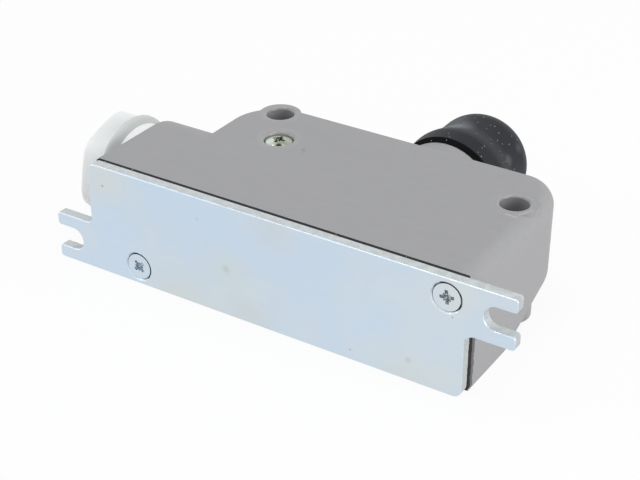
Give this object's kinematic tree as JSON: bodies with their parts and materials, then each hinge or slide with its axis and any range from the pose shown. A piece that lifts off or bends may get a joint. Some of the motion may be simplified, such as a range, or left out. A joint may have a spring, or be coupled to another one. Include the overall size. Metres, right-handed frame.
{
  "type": "plunger limit switch",
  "caption": "Die cast limit switch on a slotted base plate, with a rubber booted end plunger and a capped conduit hub.",
  "frame": {"origin": "centre of the base plate's mounting face", "axes": "+X along the base plate away from the conduit hub, +Y from the base plate towards the plunger's tip, +Z through the case's thickness, up when the switch lies on its side"},
  "size_m": [0.1217, 0.0813, 0.028],
  "materials": {
    "grey_paint": "satin light grey paint on a zinc or aluminium casting",
    "zinc_plate": "bright bluish zinc plating on sheet steel",
    "gasket_rubber": "matt",
    "yellow_zinc": "pale yellow zinc plating",
    "plain_steel": "turned or rolled",
    "spring_steel": "drawn wire and stamped strip",
    "black_moulding": "moulded phenolic",
    "red_moulding": "moulded",
    "white_moulding": "moulded acetal",
    "copper_alloy": "rolled beryllium copper",
    "terminal_brass": "rolled",
    "bearing_brass": "turned",
    "boot_rubber": "matt, dusty",
    "cap_plastic": "milky polyethylene"
  },
  "bodies": {
    "case": {"housing": "grey_paint", "cover_plate": "zinc_plate", "cover_gasket": "gasket_rubber", "cover_screws": "zinc_plate", "side_screw": "yellow_zinc", "switch_bracket": "plain_steel", "switch_screws": "plain_steel", "switch_case": "black_moulding", "switch_cover": "black_moulding", "common_terminal": "terminal_brass", "closed_terminal": "terminal_brass", "open_terminal": "terminal_brass", "terminal_screws": "plain_steel", "plunger_bushing": "bearing_brass", "return_spring": "spring_steel", "rubber_boot": "boot_rubber", "conduit_cap": "cap_plastic"},
    "plunger": {"plunger_stem": "plain_steel", "plunger_button": "plain_steel", "retaining_clip": "spring_steel", "pin_retainer": "bearing_brass", "overtravel_spring": "spring_steel"},
    "transfer": {"transfer_pin": "white_moulding", "switch_pin": "red_moulding"},
    "blade": {"contact_blade": "copper_alloy"}
  },
  "joints": [
    {"name": "plunger_slide", "type": "slide", "parent": "case", "child": "plunger", "axis": [0, -1, 0], "range_m": [0, 0.006], "stiffness_N_per_m": 700, "springref_m": -0.007, "deforming": ["rubber_boot", "return_spring", "overtravel_spring"]},
    {"name": "pin_slide", "type": "slide", "parent": "case", "child": "transfer", "axis": [0, -1, 0], "range_m": [0, 0.00101]},
    {"name": "blade_tilt", "type": "hinge", "parent": "case", "child": "blade", "pos_m": [-0.0135, 0.0175, 0], "axis": [0, 0, -1], "range_deg": [0, 2.06]}
  ],
  "couplings": [
    {"joint": "pin_slide", "follows": "plunger_slide", "ratio": 0.16667},
    {"joint": "blade_tilt", "follows": "plunger_slide", "rad_per_m": 5.9312}
  ]
}
